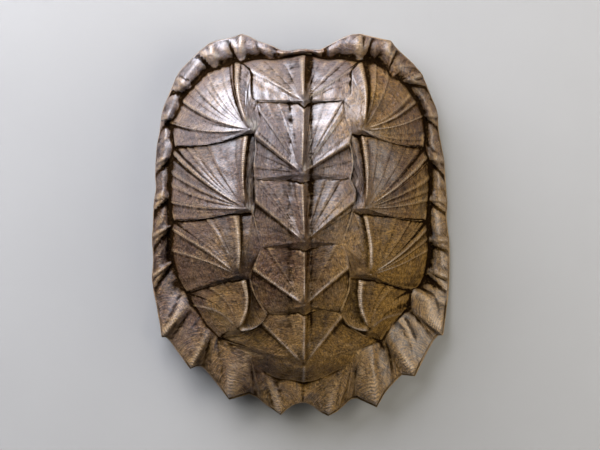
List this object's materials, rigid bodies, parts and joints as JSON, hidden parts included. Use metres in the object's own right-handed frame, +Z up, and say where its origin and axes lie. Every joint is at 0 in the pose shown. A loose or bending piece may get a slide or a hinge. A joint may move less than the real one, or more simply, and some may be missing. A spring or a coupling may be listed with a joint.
{
  "type": "turtle shell",
  "caption": "Empty upper shell of a snapping turtle: keeled dome of ridged horn scutes with a saw-toothed rear rim, resting dome up on the rims of its sides.",
  "frame": {"origin": "middle of the bounding box in plan, at the height of the surface that the side rims rest on", "axes": "+X to the shell's right side, +Y to its head end, +Z up out of the dome"},
  "size_m": [0.2658, 0.34, 0.0987],
  "materials": {
    "horn": "glossy dark brown horn with tan worn ridges"
  },
  "bodies": {
    "root": {"carapace": "horn"}
  },
  "joints": []
}
